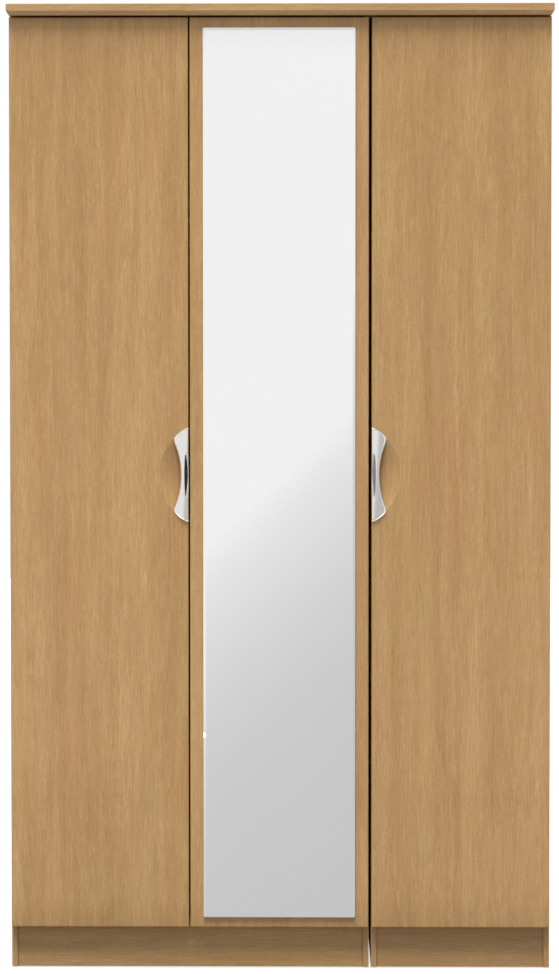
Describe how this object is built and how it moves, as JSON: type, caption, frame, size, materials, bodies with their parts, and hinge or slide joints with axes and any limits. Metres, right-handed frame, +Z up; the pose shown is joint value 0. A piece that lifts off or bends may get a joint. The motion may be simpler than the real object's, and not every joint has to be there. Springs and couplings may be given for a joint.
{
  "type": "triple wardrobe",
  "caption": "Tall oak-finish wardrobe with hinged doors, a long mirror on the middle door, chrome bow handles over finger scoops, hat shelves and hanging rails.",
  "frame": {"origin": "on the floor, at the middle of the overall width and depth", "axes": "+Z up, the doors face -Y, +X to the right when facing the doors"},
  "size_m": [1.1104, 0.53, 1.97],
  "materials": {
    "door_foil": "satin natural-oak foil with vertical grain",
    "carcass_foil": "satin natural-oak foil",
    "inside_foil": "matt natural-oak foil",
    "hardboard": "smooth printed hardboard",
    "chrome": "polished chrome",
    "mirror": "silvered float glass with ground edges",
    "foam_tape": "black double-sided foam tape",
    "black_plastic": "moulded",
    "clear_plastic": "soft clear polyurethane",
    "nickel_steel": "nickel-plated pressed steel",
    "zinc_steel": "bright zinc-plated"
  },
  "bodies": {
    "carcass": {"top_panel": "carcass_foil", "double_left_side": "carcass_foil", "double_right_side": "carcass_foil", "single_left_side": "carcass_foil", "single_right_side": "carcass_foil", "double_base": "inside_foil", "single_base": "inside_foil", "double_base_support": "inside_foil", "double_plinth": "carcass_foil", "single_plinth": "carcass_foil", "double_rear_rail": "inside_foil", "single_rear_rail": "inside_foil", "double_top_rail": "inside_foil", "single_top_rail": "inside_foil", "double_back_panel": "hardboard", "single_back_panel": "hardboard", "back_panel_nails": "zinc_steel", "double_hat_shelf": "inside_foil", "single_hat_shelf": "inside_foil", "shelf_pins": "zinc_steel", "double_hanging_rail": "chrome", "single_hanging_rail": "chrome", "rail_sockets": "nickel_steel", "rail_socket_screws": "zinc_steel", "cam_locks": "zinc_steel", "cam_dowels": "nickel_steel", "carcass_spacers": "black_plastic", "connector_sleeves": "nickel_steel", "connector_bolts": "nickel_steel", "floor_glides": "black_plastic", "wall_brackets": "zinc_steel", "wall_bracket_screws": "zinc_steel", "door_bumpers": "clear_plastic", "hinge_plates": "nickel_steel", "hinge_plate_screws": "zinc_steel", "hinge_arms": "nickel_steel", "hinge_arm_screws": "zinc_steel"},
    "left_door": {"left_door": "door_foil", "left_handle": "chrome", "left_handle_screws": "zinc_steel", "left_hinge_cups": "nickel_steel", "left_cup_screws": "zinc_steel", "left_hinge_pins": "zinc_steel"},
    "mirror_door": {"mirror_door": "door_foil", "mirror_glass": "mirror", "mirror_tape": "foam_tape", "mirror_hinge_cups": "nickel_steel", "mirror_cup_screws": "zinc_steel", "mirror_hinge_pins": "zinc_steel"},
    "right_door": {"right_door": "door_foil", "right_handle": "chrome", "right_handle_screws": "zinc_steel", "right_hinge_cups": "nickel_steel", "right_cup_screws": "zinc_steel", "right_hinge_pins": "zinc_steel"}
  },
  "joints": [
    {"name": "left_door_hinge", "type": "hinge", "parent": "carcass", "child": "left_door", "pos_m": [-0.54435, -0.2395, 1.016], "axis": [0, 0, -1], "range_deg": [0, 100]},
    {"name": "mirror_door_hinge", "type": "hinge", "parent": "carcass", "child": "mirror_door", "pos_m": [0.17385, -0.2395, 1.016], "axis": [0, 0, 1], "range_deg": [0, 100]},
    {"name": "right_door_hinge", "type": "hinge", "parent": "carcass", "child": "right_door", "pos_m": [0.54435, -0.2395, 1.016], "axis": [0, 0, 1], "range_deg": [0, 100]}
  ]
}
